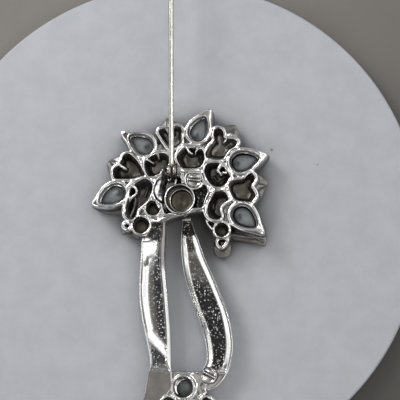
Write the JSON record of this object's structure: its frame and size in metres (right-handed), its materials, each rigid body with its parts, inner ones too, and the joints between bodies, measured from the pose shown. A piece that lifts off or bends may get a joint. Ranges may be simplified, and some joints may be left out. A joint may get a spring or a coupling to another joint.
{
  "type": "flower dress pin",
  "caption": "Plated flower brooch with foil-backed pear stones, two curved stems, a hinged pin stem on the back and a turning safety catch.",
  "frame": {"origin": "middle of the centre stone's flat table, on the plane that the brooch rests on when it lies face down", "axes": "+Z from the stones' front to the brooch's back, +Y from the stems towards the flower and along the opened pin stem, +X to the right seen from the back"},
  "size_m": [0.0346, 0.1001, 0.0095],
  "materials": {
    "bright_plating": "bright plated casting, polished ridges over a grainy recessed ground",
    "pin_wire": "drawn and polished hard wire",
    "cup_metal": "bright plated cup, greyer inside",
    "foiled_stone": "cut glass with grey foil on its back"
  },
  "bodies": {
    "brooch": {"flower_casting": "bright_plating", "centre_cup": "cup_metal", "centre_stone": "foiled_stone", "pear_stone_1": "foiled_stone", "pear_stone_2": "foiled_stone", "pear_stone_3": "foiled_stone", "pear_stone_4": "foiled_stone", "pear_stone_5": "foiled_stone", "round_stone_a": "foiled_stone", "round_stone_b": "foiled_stone", "round_stone_c": "foiled_stone", "rivet_upper": "bright_plating", "rivet_lower": "bright_plating", "stem_left": "bright_plating", "stem_right": "bright_plating", "lower_cluster": "bright_plating", "low_stone_1": "foiled_stone", "low_stone_2": "foiled_stone", "low_stone_3": "foiled_stone", "hinge_base": "bright_plating", "hinge_rivet": "pin_wire", "catch_base": "bright_plating"},
    "pin": {"pin_stem": "pin_wire"},
    "lock": {"catch_lock": "bright_plating"}
  },
  "joints": [
    {"name": "pin_swing", "type": "hinge", "parent": "brooch", "child": "pin", "pos_m": [-0.00165, 0.0047, 0.0067], "axis": [1, 0, 0], "range_deg": [0, 177]},
    {"name": "lock_turn", "type": "hinge", "parent": "brooch", "child": "lock", "pos_m": [-0.00145, -0.043, 0.0067], "axis": [0, -1, 0], "range_deg": [0, 120]}
  ]
}
